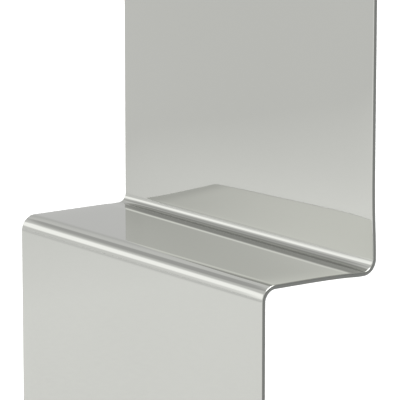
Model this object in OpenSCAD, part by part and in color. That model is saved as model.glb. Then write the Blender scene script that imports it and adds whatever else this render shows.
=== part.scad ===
/* [Steps] */
// Width of the folded step plate
step_w = 450; // [420:5:460]
// Thickness of the step plate
step_t = 6; // [5:0.5:7]
// Height from one tread to the next
rise = 305; // [290:5:320]
// Depth of a tread, from riser face to riser face
going = 145; // [140:5:155]
// Inside radius of each fold in the step plate
fold_r = 9; // [8:0.5:12]
// Length of the flange under the first riser
foot_flange = 100; // [90:5:120]
// Length of the platform that the step plate ends in
deck_l = 545; // [540:5:560]

/* [Chute] */
// Thickness of the sliding bed
bed_t = 4; // [3:0.5:5]
// Thickness of the chute's side plates
cheek_t = 4; // [3:0.5:5]
// Height of the top rail's centre line above the bed
rail_v = 160; // [140:5:180]
// Length of the level sit-down part
sit_l = 330; // [300:10:360]
// Steepest slope of the bed
steep = 36; // [32:1:38]
// Slope of the bed where the wave levels out
gentle = 8; // [4:1:12]
// Slope of the run-out
runout_slope = 3; // [2:1:5]
// Radius of the wave
wave_r = 500; // [450:10:550]
// Straight length between the wave's two bends
wave_mid = 30; // [20:5:60]
// Radius of the bend over the crest
crest_r = 350; // [320:10:400]
// Straight length on each side of the upper joint
upper_straight = 115; // [100:5:125]
// Straight length on each side of the lower joint
lower_straight = 125; // [100:5:130]
// Length of the run-out
runout_l = 400; // [380:10:450]

/* [Rails] */
// Outside diameter of the rail tube
rail_d = 33.7; // [32:0.1:35]
// Wall of the rail tube
rail_wall = 3; // [2:0.5:3.5]
// Height of the hoops above the platform
hoop_h = 720; // [680:10:760]
// Height of the entry bar above the platform
entry_h = 640; // [600:10:660]

/* [Supports] */
// Outside diameter of a platform leg
leg_d = 48.3; // [42.4:0.1:50]
// Outside diameter of a chute post
post_d = 60.3; // [48.3:0.1:62]
// Width and length of a base plate
base_w = 130; // [120:5:140]
// Thickness of a base plate
base_t = 8; // [6:1:10]
// Distance between anchor holes on a base plate
base_pitch = 96; // [90:1:98]
// Diameter of an anchor hole
anchor_d = 14; // [12:1:15]

/* [Hidden] */
$fn = 96;

polished = [0.78, 0.79, 0.77];
satin = [0.62, 0.63, 0.62];
zinc = [0.50, 0.51, 0.52];
black = [0.12, 0.12, 0.13];

deck_z = 3 * rise;
riser_y = -0.6 * foot_flange;          // front face of the first riser
deck_y = riser_y + 2 * going;          // front face of the last riser
deck_end = deck_y + deck_l;
anchor_span = 300;
through = 1;                           // how far a cut runs past the faces that it cuts
hole_gap = 1;                          // how much wider a bolt hole is than its bolt

bearer_h = 50;
bearer_w = 30;
bearer_wall = 3;
bearer_inset = 2;
bearer_x = step_w / 2 - bearer_inset - bearer_w / 2;
bearer_y0 = deck_y + step_t + fold_r;
bearer_reach = 130;                    // length of the bearers past the platform, under the chute
bearer_y1 = deck_end + bearer_reach;
bearer_z = deck_z - step_t - bearer_h; // underside of the bearers
cross_h = 40;
cross_front_y = bearer_y0 + 30;
cross_rear_y = deck_end - 40;

leg_x = bearer_x + bearer_w / 2 - leg_d / 2; // so that the braces lie flat on legs and bearers
leg_y = deck_end - 115;
leg_plate = [46, 84, 6];
leg_bolt_d = 6;
leg_bolt_v = leg_plate[1] / 2 - 8;
support_wall = 3;                      // wall of the legs and posts
tie_z = 430;
tie_d = 33.7;
tie_wall = 2.5;
brace_t = 6;
brace_w = 40;
brace_bolt_d = 10;
brace_low = [leg_y, tie_z + 60];
brace_high = [leg_y - 240, bearer_z + 25];
brace_x = bearer_x + bearer_w / 2 + brace_t / 2;
gusset_t = 5;
gusset_h = 55;
gusset_toe = 6;                        // height of a gusset at its outer end
gusset_inset = 8;                      // from the base plate's edge to the gusset
gusset_top_w = 3;                      // width of a gusset at its upper end

rail_r = rail_d / 2;
clamp_pad = 5;
rail_x = bearer_x + bearer_w / 2 + clamp_pad + rail_r;
hoop_front_y = deck_y + 35;
hoop_rear_y = deck_end - 30;
hoop_bend = 80;
hoop_lift = 3;                         // from the bearers' underside to the hoops' feet
hoop_z0 = bearer_z + hoop_lift;
hoop_z1 = deck_z + hoop_h;
guard_t = 5;
guard_gap = 95;
guard_z0 = deck_z + 30;
guard_z1 = hoop_z1 - rail_r - guard_gap;
slot_w = 60;
slot_count = 4;
slot_margin = 70;                      // from a slot's straight part to the guard's edge
clamp_h = 44;
clamp_wall = 5;
clamp_pad_l = 90;
clamp_bolt_v = 36;
clamp_bolt_d = 8;
socket_wall = 4;                       // wall of the tees and collars round a rail
tee_h = 44;
tee_reach = 52;
tee_seat = 3;                          // from the upright's face to the entry bar's end
collar_h = 42;
spigot_l = 40;

chute_y = deck_end + 2;
bed_w = 2 * rail_x - cheek_t;
cheek_top = rail_v - rail_r;
facet = 4;                             // largest turn between two points on a bend, in degrees
tube_sides = 16;
lip_r = 60;
lip_turn = -75;
rail_end_r = 70;
spigot_gap = 0.6;
rail_end_gap = 4;

// A path is a list of [straight length, bend radius, turn in degrees], a left turn being upwards.
start_path = [[sit_l, crest_r, -steep], [upper_straight, 0, 0]];
wave_path = [[upper_straight, wave_r, steep - gentle], [wave_mid, wave_r, gentle - steep],
    [lower_straight, 0, 0]];
runout_path = [[lower_straight, wave_r, steep - runout_slope], [runout_l, 0, 0]];
lip_path = [[0, lip_r, lip_turn]];
fold_out = fold_r + step_t;
step_path = [[foot_flange - fold_out, fold_out, -90], [rise - 2 * fold_out, fold_out, -90],
    [going - fold_out - fold_r, fold_r, 90], [rise - fold_r - fold_out, fold_out, -90],
    [going - fold_out - fold_r, fold_r, 90], [rise - fold_r - fold_out, fold_out, -90],
    [deck_l - fold_out, 0, 0]];
hoop_path = [[hoop_z1 - hoop_z0 - hoop_bend, hoop_bend, -90],
    [hoop_rear_y - hoop_front_y - 2 * hoop_bend, hoop_bend, -90], [hoop_z1 - hoop_z0 - hoop_bend, 0, 0]];

// A place on a path is [y, z, heading].
start_at = [chute_y, deck_z, 0];
wave_at = path_end(start_path, start_at);
runout_at = path_end(wave_path, wave_at);
exit_at = path_end(runout_path, runout_at);
step_at = [riser_y + foot_flange, 0, 180];
hoop_at = [hoop_front_y, hoop_z0, 90];

flange_t = 6;
flange_side = 30;
flange_drop = 56;
flange_top = 105;
flange_bolts = [[rail_x + 18, 22], [rail_x + 18, 86], [130, -32]];
joint_bolt_d = 10;
clamp_head = [13, 5];                  // corner width and height of each bolt head
leg_head = [11, 4];
brace_head = [19, 6.5];

head_l = 80;
head_w = 220;
head_t = 6;
head_gap = 30;                         // from a joint to the head plate of its post
exit_head_back = 210;                  // from the end of the run-out to the exit post's head plate

pad_t = step_t - bed_t;
pad_y = [chute_y + 18, bearer_y1 - 12];
stud_d = 8;
stud_tail = 12;                        // length of a stud under the bearer
stud_nut = [15, 7];                    // corner width and height
stud_ys = [cross_front_y + 60, leg_y - 130, deck_end - 75];
chute_stud_ys = [pad_y[0] + 20, pad_y[1] - 20];

// --- geometry helpers ---

function path_step(p, s) =
    let (side = sign(s[2]), turned = p[2] + s[2],
         y = p[0] + s[0] * cos(p[2]) - side * s[1] * sin(p[2]),
         z = p[1] + s[0] * sin(p[2]) + side * s[1] * cos(p[2]))
    [y + side * s[1] * sin(turned), z - side * s[1] * cos(turned), turned];

function path_end(path, p, i = 0) = i == len(path) ? p : path_end(path, path_step(p, path[i]), i + 1);

// The same path, moved off to its left by off
function offset_path(path, off) = [for (s = path) [s[0], s[1] - sign(s[2]) * off, s[2]]];

function offset_place(p, off) = [p[0] - off * sin(p[2]), p[1] + off * cos(p[2]), p[2]];

// Turns a drawing in X and Y, thick along Z, to lie in the slide's Y and Z, thick along X.
module profile() rotate([90, 0, 90]) children();

module at(p) translate([p[0], p[1], 0]) rotate([0, 0, p[2]]) children();

// Sweeps children through the bend of path step s.
module bend(s) {
    side = sign(s[2]);
    translate([s[0], side * s[1], 0]) rotate([0, 0, side > 0 ? -90 : 90 + s[2]])
        rotate_extrude(angle = abs(s[2])) children();
}

// Places along a path: the ends of its straights, and points on its bends every facet degrees or less
function places(path, p, i = 0) = i == len(path) ? [p] :
    let (s = path[i], n = ceil(abs(s[2]) / facet))
    concat([p], [for (k = [s[0] > 0 ? 0 : 1:1:n - 1]) path_step(p, [s[0], s[1], s[2] * k / n])],
        places(path, path_step(p, s), i + 1));

// A plate that follows a path, from lo to hi on the left of it, width wide
module band(path, p, lo, hi, width) {
    spots = places(path, p);
    last = len(spots) - 1;
    linear_extrude(width, center = true) polygon(concat(
        [for (q = spots) [offset_place(q, lo)[0], offset_place(q, lo)[1]]],
        [for (i = [last:-1:0]) [offset_place(spots[i], hi)[0], offset_place(spots[i], hi)[1]]]));
}

module ring(r, wall) difference() {
    circle(r);
    circle(r - wall);
}

// A tube that follows a path of right-angled bends
module tube(path, p, r, wall, i = 0) {
    if (i < len(path)) {
        s = path[i];
        at(p) {
            if (s[0] > 0) rotate([0, 90, 0]) linear_extrude(s[0]) ring(r, wall);
            if (s[2] != 0) bend(s) translate([s[1], 0]) ring(r, wall);
        }
        tube(path, path_step(p, s), r, wall, i + 1);
    }
}

// A tube that follows any path, as rings of flat sides joined one to the next
module swept_tube(path, p, r, wall) {
    spots = places(path, p);
    last = len(spots) - 1;
    n = tube_sides;
    points = [for (q = spots, radius = [r, r - wall], k = [0:n - 1])
        let (v = offset_place(q, radius * sin(k * 360 / n))) [v[0], v[1], radius * cos(k * 360 / n)]];
    skins = [for (i = [0:last - 1], skin = [0, 1], k = [0:n - 1])
        let (a = 2 * n * i + skin * n + k, b = 2 * n * i + skin * n + (k + 1) % n)
        skin == 0 ? [a, b, b + 2 * n, a + 2 * n] : [a, a + 2 * n, b + 2 * n, b]];
    ends = [for (k = [0:n - 1]) let (j = (k + 1) % n, m = 2 * n * last)
        each [[k, n + k, n + j, j], [m + k, m + j, m + n + j, m + n + k]]];
    polyhedron(points, concat(skins, ends), convexity = 8);
}

module box_tube(w, h, l, wall) translate([0, l, 0]) rotate([90, 0, 0]) linear_extrude(l) difference() {
    translate([-w / 2, 0]) square([w, h]);
    translate([wall - w / 2, wall]) square([w - 2 * wall, h - 2 * wall]);
}

// --- steps and platform ---

module step_plate() color(polished) difference() {
    profile() band(step_path, step_at, -step_t, 0, step_w);
    for (x = [-anchor_span / 2, anchor_span / 2])
        translate([x, 0, -through]) cylinder(d = anchor_d, h = step_t + 2 * through);
}

module bearer(side) color(satin) difference() {
    translate([side * bearer_x, bearer_y0, bearer_z])
        box_tube(bearer_w, bearer_h, bearer_y1 - bearer_y0, bearer_wall);
    for (y = concat(stud_ys, chute_stud_ys))
        translate([side * bearer_x, y, bearer_z - through])
            cylinder(d = stud_d + hole_gap, h = bearer_h + 2 * through);
}

module cross_bearer(y) color(satin)
    translate([-(bearer_x - bearer_w / 2), y, deck_z - step_t - cross_h])
    rotate([0, 0, -90]) box_tube(bearer_w, cross_h, 2 * bearer_x - bearer_w, bearer_wall);

module leg(side) color(satin) difference() {
    translate([side * leg_x, leg_y, 0]) {
        translate([0, 0, base_t])
            linear_extrude(bearer_z - leg_plate[2] - base_t) ring(leg_d / 2, support_wall);
        translate([-leg_plate[0] / 2, -leg_plate[1] / 2, bearer_z - leg_plate[2]]) cube(leg_plate);
    }
    for (v = [-1, 1]) translate([side * bearer_x, leg_y + v * leg_bolt_v, bearer_z - leg_plate[2] - through])
        cylinder(d = leg_bolt_d + hole_gap, h = leg_plate[2] + 2 * through);
}

// A base plate with four triangular gussets round an upright tube of diameter d
module foot(d) color(satin) {
    toe = base_w / 2 - gusset_inset;
    difference() {
        union() {
            translate([-base_w / 2, -base_w / 2, 0]) cube([base_w, base_w, base_t]);
            for (turn = [0:90:270]) rotate([90, 0, turn]) translate([0, base_t, -gusset_t / 2])
                linear_extrude(gusset_t) polygon([[d / 4, 0], [toe, 0], [toe, gusset_toe],
                    [d / 2 + gusset_top_w, gusset_h], [d / 4, gusset_h]]);
        }
        translate([0, 0, base_t]) cylinder(d = d, h = gusset_h + through);
        for (x = [-1, 1], y = [-1, 1]) translate([x * base_pitch / 2, y * base_pitch / 2, -through])
            cylinder(d = anchor_d, h = base_t + 2 * through);
    }
}

module leg_foot(side) translate([side * leg_x, leg_y, 0]) foot(leg_d);

module leg_tie() color(satin) difference() {
    translate([-leg_x, leg_y, tie_z]) rotate([0, 90, 0]) linear_extrude(2 * leg_x) ring(tie_d / 2, tie_wall);
    for (side = [-1, 1]) translate([side * leg_x, leg_y, tie_z - tie_d]) cylinder(d = leg_d, h = 2 * tie_d);
}

// A flat bar from the leg to the bearer, drilled at both ends
module brace(side) color(satin) {
    run = brace_high - brace_low;
    l = norm(run);
    translate([side * brace_x - brace_t / 2, 0, 0]) rotate([90, 0, 90])
        translate([brace_low[0], brace_low[1], 0]) rotate([0, 0, atan2(run[1], run[0])]) difference() {
            union() {
                translate([0, -brace_w / 2, 0]) cube([l, brace_w, brace_t]);
                for (x = [0, l]) translate([x, 0, 0]) cylinder(d = brace_w, h = brace_t);
            }
            for (x = [0, l]) translate([x, 0, -through])
                cylinder(d = brace_bolt_d + hole_gap, h = brace_t + 2 * through);
        }
}

// --- handrail hoops ---

module hoop(side) color(polished)
    translate([side * rail_x, 0, 0]) profile() tube(hoop_path, hoop_at, rail_r, rail_wall);

module guard(side) color(polished) {
    w = hoop_rear_y - hoop_front_y - rail_d;
    h = guard_z1 - guard_z0;
    pitch = w / slot_count;
    translate([side * rail_x, (hoop_front_y + hoop_rear_y) / 2, guard_z0]) rotate([90, 0, 90])
        linear_extrude(guard_t, center = true) difference() {
            translate([-w / 2, 0]) square([w, h]);
            for (i = [0:slot_count - 1]) translate([(i - (slot_count - 1) / 2) * pitch, 0]) {
                translate([-slot_w / 2, slot_margin]) square([slot_w, h - 2 * slot_margin]);
                for (v = [slot_margin, h - slot_margin]) translate([0, v]) circle(d = slot_w);
            }
        }
}

// A sleeve round a hoop's foot, welded to a pad that bolts to the bearer
module post_clamp(side, y) color(satin) translate([side * rail_x, y, hoop_z0]) {
    inner = rail_r + clamp_pad;        // from the hoop's centre line to the bearer's face
    difference() {
        union() {
            cylinder(r = rail_r + clamp_wall, h = clamp_h);
            translate([side > 0 ? -inner : rail_r, -clamp_pad_l / 2, 0])
                cube([clamp_pad, clamp_pad_l, clamp_h]);
        }
        translate([0, 0, -through]) cylinder(r = rail_r, h = clamp_h + 2 * through);
        for (v = [-clamp_bolt_v, clamp_bolt_v]) translate([0, v, clamp_h / 2]) rotate([0, 90, 0])
            cylinder(d = clamp_bolt_d + hole_gap, h = 2 * (inner + through), center = true);
    }
}

module entry_bar() color(polished) {
    reach = rail_x - rail_r - tee_seat;
    translate([-reach, hoop_rear_y, deck_z + entry_h])
        rotate([0, 90, 0]) linear_extrude(2 * reach) ring(rail_r, rail_wall);
}

// A tee that joins the entry bar to a hoop
module entry_socket(side) color(polished)
translate([side * rail_x, hoop_rear_y, deck_z + entry_h]) difference() {
    union() {
        cylinder(r = rail_r + socket_wall, h = tee_h, center = true);
        rotate([0, -side * 90, 0]) cylinder(r = rail_r + socket_wall, h = tee_reach);
    }
    cylinder(r = rail_r, h = tee_h + 2 * through, center = true);
    rotate([0, -side * 90, 0]) translate([0, 0, rail_r + tee_seat]) cylinder(r = rail_r, h = tee_reach);
}

// --- chute ---

module bed_start() color(polished) profile() band(start_path, start_at, -bed_t, 0, bed_w);
module bed_wave() color(polished) profile() band(wave_path, wave_at, -bed_t, 0, bed_w);
module bed_runout() color(polished) profile() {
    band(runout_path, runout_at, -bed_t, 0, bed_w);
    band(lip_path, exit_at, -bed_t, 0, bed_w);
}

module cheek(side, path, p) color(polished) translate([side * rail_x, 0, 0])
    profile() band(path, p, -bed_t, cheek_top, cheek_t);

// The last side plate, whose far top corner is rounded to fit inside the rail's end bend
module cheek_runout(side) color(polished) difference() {
    cheek(side, runout_path, runout_at);
    translate([side * rail_x, 0, 0]) profile() at(exit_at) {
        translate([-rail_r, -bed_t - through, -cheek_t]) cube([rail_r + through, 2 * rail_v, 2 * cheek_t]);
        translate([-rail_end_r, rail_v - rail_end_r, -cheek_t]) difference() {
            cube([rail_end_r + through, rail_end_r + through, 2 * cheek_t]);
            translate([0, 0, -through]) cylinder(r = rail_end_r - rail_r, h = 2 * (cheek_t + through));
        }
    }
}

// A tube along the tops of the side plates that turns down at the far end
module top_rail(side) color(polished) {
    last_straight = runout_path[1][0] - rail_end_r;
    main = concat(offset_path(concat(start_path, wave_path, [runout_path[0]]), rail_v),
        [[last_straight, rail_end_r, -90], [rail_v - rail_end_r - rail_end_gap, 0, 0]]);
    translate([side * rail_x, 0, 0]) profile()
        swept_tube(main, offset_place(start_at, rail_v), rail_r, rail_wall);
}

// A sleeve on the rear post with a spigot that carries the top rail
module rail_collar(side) color(satin) translate([side * rail_x, hoop_rear_y, deck_z + rail_v]) difference() {
    union() {
        cylinder(r = rail_r + socket_wall, h = collar_h, center = true);
        rotate([-90, 0, 0]) cylinder(r = rail_r, h = chute_y - hoop_rear_y);
        rotate([-90, 0, 0])
            cylinder(r = rail_r - rail_wall - spigot_gap, h = chute_y - hoop_rear_y + spigot_l);
    }
    cylinder(r = rail_r, h = collar_h + 2 * through, center = true);
}

// A U-shaped plate round the chute's end at a joint, from along a to b on the path
module flange(p, a) color(satin) {
    inner = rail_x + cheek_t / 2;
    profile() at(p) translate([a, 0, 0]) difference() {
        translate([0, -bed_t - flange_drop, -inner - flange_side])
            cube([flange_t, flange_top + bed_t + flange_drop, 2 * (inner + flange_side)]);
        translate([-through, -bed_t, -inner])
            cube([flange_t + 2 * through, flange_top + bed_t + through, 2 * inner]);
        for (b = flange_bolts, side = [-1, 1]) translate([-through, b[1], side * b[0]])
            rotate([0, 90, 0]) cylinder(d = joint_bolt_d + hole_gap, h = flange_t + 2 * through);
    }
}

// An upright tube under the bed with a head plate along the bed's slope, starting a along the path from p
module chute_post(p, a) color(satin) {
    mid = [p[0] + (a + head_l / 2) * cos(p[2]), p[1] + (a + head_l / 2) * sin(p[2])];
    profile() at(p) translate([a, -bed_t - head_t, -head_w / 2]) cube([head_l, head_t, head_w]);
    difference() {
        translate([0, mid[0], base_t]) linear_extrude(mid[1]) ring(post_d / 2, support_wall);
        profile() at(p) translate([a - 2 * head_l, -bed_t - head_t, -post_d])
            cube([5 * head_l, 5 * head_l, 2 * post_d]);
    }
}

module chute_foot(p, a) translate([0, p[0] + (a + head_l / 2) * cos(p[2]), 0]) foot(post_d);

module chute_pads() color(black) for (side = [-1, 1])
    translate([side * bearer_x - bearer_w / 2, pad_y[0], deck_z - step_t]) difference() {
        cube([bearer_w, pad_y[1] - pad_y[0], pad_t]);
        for (y = chute_stud_ys) translate([bearer_w / 2, y - pad_y[0], -through])
            cylinder(d = stud_d + hole_gap, h = pad_t + 2 * through);
    }

module cap(r) rotate_extrude() polygon([[0, 0], [r, 0], [r, 2], [r - 2, 4], [0, 4]]);

// Plugs in the open ends of the rails and hoops
module tube_caps() color(black) for (side = [-1, 1]) translate([side * rail_x, 0, 0]) {
    for (y = [hoop_front_y, hoop_rear_y]) translate([0, y, hoop_z0]) mirror([0, 0, 1]) cap(rail_r);
    profile() at(exit_at) translate([0, rail_end_gap, 0]) rotate([90, 0, 0]) cap(rail_r);
}

// --- fasteners ---

module hex(d, h) cylinder(d = d, h = h, $fn = 6);

// A stud down from z, through a bearer, with a nut under it
module weld_stud(x, y, z) {
    translate([x, y, bearer_z - stud_tail]) cylinder(d = stud_d, h = z - bearer_z + stud_tail);
    translate([x, y, bearer_z - stud_nut[1]]) difference() {
        hex(stud_nut[0], stud_nut[1]);
        translate([0, 0, -through]) cylinder(d = stud_d, h = stud_nut[1] + 2 * through);
    }
}

module weld_studs() color(zinc) for (side = [-1, 1]) {
    for (y = stud_ys) weld_stud(side * bearer_x, y, deck_z - step_t);
    for (y = chute_stud_ys) weld_stud(side * bearer_x, y, deck_z - bed_t);
}

// A hexagon bolt along Z: head below 0, shank through grip, nut above
module bolt(d, grip) {
    translate([0, 0, -0.65 * d]) hex(1.9 * d, 0.65 * d);
    cylinder(d = d, h = grip + 1.1 * d);
    translate([0, 0, grip]) hex(1.9 * d, 0.8 * d);
}

module joint_bolts() color(zinc) profile() for (p = [wave_at, runout_at], b = flange_bolts, side = [-1, 1])
    at(p) translate([-flange_t, b[1], side * b[0]]) rotate([0, 90, 0]) bolt(joint_bolt_d, 2 * flange_t);

// Bolts of the post clamps, the leg plates and the braces, each ending inside the tube it is fixed to
module frame_bolts() color(zinc) for (side = [-1, 1]) {
    for (y = [hoop_front_y, hoop_rear_y], v = [-clamp_bolt_v, clamp_bolt_v])
        translate([side * (rail_x - rail_r), y + v, hoop_z0 + clamp_h / 2]) rotate([0, side * 90, 0]) {
            hex(clamp_head[0], clamp_head[1]);
            translate([0, 0, -clamp_pad]) cylinder(d = clamp_bolt_d, h = clamp_pad);
        }
    for (v = [-1, 1]) translate([side * bearer_x, leg_y + v * leg_bolt_v, bearer_z - leg_plate[2]]) {
        cylinder(d = leg_bolt_d, h = leg_plate[2]);
        translate([0, 0, -leg_head[1]]) hex(leg_head[0], leg_head[1]);
    }
    for (p = [brace_low, brace_high])
        translate([side * (brace_x + brace_t / 2), p[0], p[1]]) rotate([0, side * 90, 0]) {
            hex(brace_head[0], brace_head[1]);
            translate([0, 0, -brace_t]) cylinder(d = brace_bolt_d, h = brace_t);
        }
}

step_plate();
bearer(-1);  // bearer_left
bearer(1);  // bearer_right
cross_bearer(cross_front_y);  // cross_bearer_front
cross_bearer(cross_rear_y);  // cross_bearer_rear
leg(-1);  // leg_left
leg(1);  // leg_right
leg_foot(-1);  // leg_foot_left
leg_foot(1);  // leg_foot_right
leg_tie();
brace(-1);  // brace_left
brace(1);  // brace_right
hoop(-1);  // hoop_left
hoop(1);  // hoop_right
guard(-1);  // guard_left
guard(1);  // guard_right
post_clamp(-1, hoop_front_y);  // post_clamp_front_left
post_clamp(1, hoop_front_y);  // post_clamp_front_right
post_clamp(-1, hoop_rear_y);  // post_clamp_rear_left
post_clamp(1, hoop_rear_y);  // post_clamp_rear_right
entry_bar();
entry_socket(-1);  // entry_socket_left
entry_socket(1);  // entry_socket_right
bed_start();
bed_wave();
bed_runout();
cheek(-1, start_path, start_at);  // cheek_start_left
cheek(1, start_path, start_at);  // cheek_start_right
cheek(-1, wave_path, wave_at);  // cheek_wave_left
cheek(1, wave_path, wave_at);  // cheek_wave_right
cheek_runout(-1);  // cheek_runout_left
cheek_runout(1);  // cheek_runout_right
top_rail(-1);  // top_rail_left
top_rail(1);  // top_rail_right
rail_collar(-1);  // rail_collar_left
rail_collar(1);  // rail_collar_right
flange(wave_at, -flange_t);  // flange_start
flange(wave_at, 0);  // flange_wave_top
flange(runout_at, -flange_t);  // flange_wave_bottom
flange(runout_at, 0);  // flange_runout
chute_post(wave_at, head_gap);  // upper_post
chute_post(runout_at, head_gap);  // lower_post
chute_post(exit_at, -exit_head_back);  // exit_post
chute_foot(wave_at, head_gap);  // upper_foot
chute_foot(runout_at, head_gap);  // lower_foot
chute_foot(exit_at, -exit_head_back);  // exit_foot
chute_pads();
tube_caps();
weld_studs();
joint_bolts();
frame_bolts();
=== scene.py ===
import math
from collections import namedtuple

import bmesh
import bpy
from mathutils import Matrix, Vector
from mathutils.geometry import tessellate_polygon


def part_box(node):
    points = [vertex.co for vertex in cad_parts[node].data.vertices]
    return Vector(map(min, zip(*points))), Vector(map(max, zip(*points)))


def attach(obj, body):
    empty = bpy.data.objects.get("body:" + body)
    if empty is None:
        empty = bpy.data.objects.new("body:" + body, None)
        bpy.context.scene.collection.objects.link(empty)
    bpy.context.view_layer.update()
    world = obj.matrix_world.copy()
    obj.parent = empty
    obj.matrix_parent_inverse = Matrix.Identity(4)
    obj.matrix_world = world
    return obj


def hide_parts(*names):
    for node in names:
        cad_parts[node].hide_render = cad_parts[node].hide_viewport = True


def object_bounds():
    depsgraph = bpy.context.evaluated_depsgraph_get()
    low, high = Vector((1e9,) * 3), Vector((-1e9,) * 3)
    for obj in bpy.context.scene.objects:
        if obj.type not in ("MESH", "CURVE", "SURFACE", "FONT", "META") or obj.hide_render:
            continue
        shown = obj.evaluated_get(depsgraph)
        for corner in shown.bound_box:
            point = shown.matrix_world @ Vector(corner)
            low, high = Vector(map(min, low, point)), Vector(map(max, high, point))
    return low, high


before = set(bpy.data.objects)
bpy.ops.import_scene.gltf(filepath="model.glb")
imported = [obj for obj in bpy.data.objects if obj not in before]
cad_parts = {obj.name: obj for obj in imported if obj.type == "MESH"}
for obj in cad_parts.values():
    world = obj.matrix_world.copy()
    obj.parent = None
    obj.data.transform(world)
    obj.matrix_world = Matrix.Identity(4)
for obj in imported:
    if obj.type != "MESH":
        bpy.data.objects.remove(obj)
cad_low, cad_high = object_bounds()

# --- the camera: it stands to the right of the steps and looks back and down at the first tread ---

step_lo, step_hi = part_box("step_plate")
STEP_W = step_hi.x - step_lo.x
RISER_Y = step_lo.y
DECK_END = step_hi.y
DECK_Z = step_hi.z
RISE = DECK_Z / 3

CAMERA_TURN = math.radians(53.43)      # from straight ahead towards the left
CAMERA_DIP = math.radians(11.42)
CAMERA_BACK = 6.799 * STEP_W           # from the first tread's front right corner, along the view
CAMERA_ASIDE = 0.141 * STEP_W
CAMERA_UP = 1.575 * STEP_W
CAMERA_LENS = 275.58


def make_camera():
    data = bpy.data.cameras.new("camera")
    data.lens = CAMERA_LENS
    data.sensor_width = 36
    camera = bpy.data.objects.new("camera", data)
    bpy.context.scene.collection.objects.link(camera)
    ahead = Vector((-math.sin(CAMERA_TURN), math.cos(CAMERA_TURN), 0))
    across = Vector((math.cos(CAMERA_TURN), math.sin(CAMERA_TURN), 0))
    corner = Vector((STEP_W / 2, RISER_Y, RISE))
    camera.location = corner - CAMERA_BACK * ahead - CAMERA_ASIDE * across + Vector((0, 0, CAMERA_UP))
    camera.rotation_euler = (math.pi / 2 - CAMERA_DIP, 0, CAMERA_TURN)
    bpy.context.scene.camera = camera


# --- sizes, in metres, as in the CAD model ---

STEP_T = 0.006
FOLD_IN = 0.009
FOLD_OUT = 0.0185                      # the press has eased the visible front folds a little
GOING = 0.145
FOOT_FLANGE = 0.1
FOOT_FLAT = 0.07                       # the flat stretch of the flange that holds the anchor holes
ANCHOR_SPAN = 0.3
ANCHOR_D = 0.014
SWELL_ON = (0.0003, 0.008)             # depth and width of the dip in front of a tread's back fold
SWELL_ABOVE = (0.0024, 0.045)          # of the dip above a tread's back fold, at the right edge
SWELL_LEFT = 0.05                      # the share of that dip at the left edge
BORDER_W = 0.05                        # width of the plate's polished-down borders
BORDER_DROP = 0.0006
CUT_IN = 0.0005                        # width of the unpolished part of a cut edge, seen from above

rail_lo, rail_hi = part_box("entry_bar")
RAIL_R = (rail_hi.z - rail_lo.z) / 2
RAIL_WALL = 0.003
ENTRY_Z = (rail_lo.z + rail_hi.z) / 2
hoop_lo, hoop_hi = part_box("hoop_right")
RAIL_X = (hoop_lo.x + hoop_hi.x) / 2
HOOP_FRONT = hoop_lo.y + RAIL_R
HOOP_REAR = hoop_hi.y - RAIL_R
HOOP_Z0 = hoop_lo.z
HOOP_Z1 = hoop_hi.z - RAIL_R
HOOP_BEND = 0.08
GUARD_T = 0.005
SLOT_W = 0.06
SLOT_COUNT = 4
SLOT_MARGIN = 0.07

BED_T = 0.004
CHEEK_T = 0.004
BED_W = 2 * RAIL_X - CHEEK_T
RAIL_V = 0.16
CHEEK_TOP = RAIL_V - RAIL_R
CHUTE_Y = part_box("bed_start")[0].y
STEEP = 36
GENTLE = 8
RUNOUT = 3
LIP_R = 0.06
LIP_TURN = -75
RAIL_END_R = 0.07
RAIL_END_GAP = 0.004
SIT_L = 0.33
CREST_R = 0.35
WAVE_R = 0.5
WAVE_MID = 0.03
UPPER_STRAIGHT = 0.115
LOWER_STRAIGHT = 0.125
RUNOUT_L = 0.4

BEARER_W = 0.03
BEARER_WALL = 0.003
BEARER_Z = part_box("bearer_right")[0].z
BEARER_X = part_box("bearer_right")[1].x - BEARER_W / 2
LEG_R = 0.0483 / 2
LEG_X = BEARER_X + BEARER_W / 2 - LEG_R
LEG_Y = DECK_END - 0.115
LEG_PLATE = (0.046, 0.084, 0.006)
LEG_BOLT_V = LEG_PLATE[1] / 2 - 0.008
SUPPORT_WALL = 0.003
BASE_W = 0.13
BASE_T = 0.008
BASE_PITCH = 0.096
GUSSET_T = 0.005
GUSSET_H = 0.055
GUSSET_TOE = 0.006
GUSSET_INSET = 0.008
GUSSET_TOP_W = 0.003
TIE_R = 0.0337 / 2
TIE_Z = 0.43
TIE_WALL = 0.0025
BRACE_T = 0.006
BRACE_W = 0.04
BRACE_HOLE = 0.011
BRACE_LOW = (LEG_Y, TIE_Z + 0.06)
BRACE_HIGH = (LEG_Y - 0.24, BEARER_Z + 0.025)
BRACE_X = BEARER_X + BEARER_W / 2 + BRACE_T / 2
CLAMP_PAD = 0.005
CLAMP_PAD_L = 0.09
CLAMP_H = 0.044
CLAMP_WALL = 0.005
CLAMP_BOLT_V = 0.036
SOCKET_WALL = 0.004
TEE_H = 0.044
TEE_REACH = 0.052
COLLAR_H = 0.042
POST_R = 0.0603 / 2
HEAD_L = 0.08
HEAD_W = 0.22
HEAD_T = 0.006
HEAD_GAP = 0.03
EXIT_HEAD_BACK = 0.21
FLANGE_T = 0.006
FLANGE_SIDE = 0.03
FLANGE_DROP = 0.056
FLANGE_TOP = 0.105
FLANGE_BOLTS = ((RAIL_X + 0.018, 0.022), (RAIL_X + 0.018, 0.086), (0.13, -0.032))
JOINT_BOLT_D = 0.01
STUD_D = 0.008
STUD_TAIL = 0.012
PAD_T = STEP_T - BED_T
pads_lo, pads_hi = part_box("chute_pads")

X, Y, Z = Vector((1, 0, 0)), Vector((0, 1, 0)), Vector((0, 0, 1))

# --- paths: steps of (straight length, bend radius, turn in degrees), a left turn being upwards ---


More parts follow.
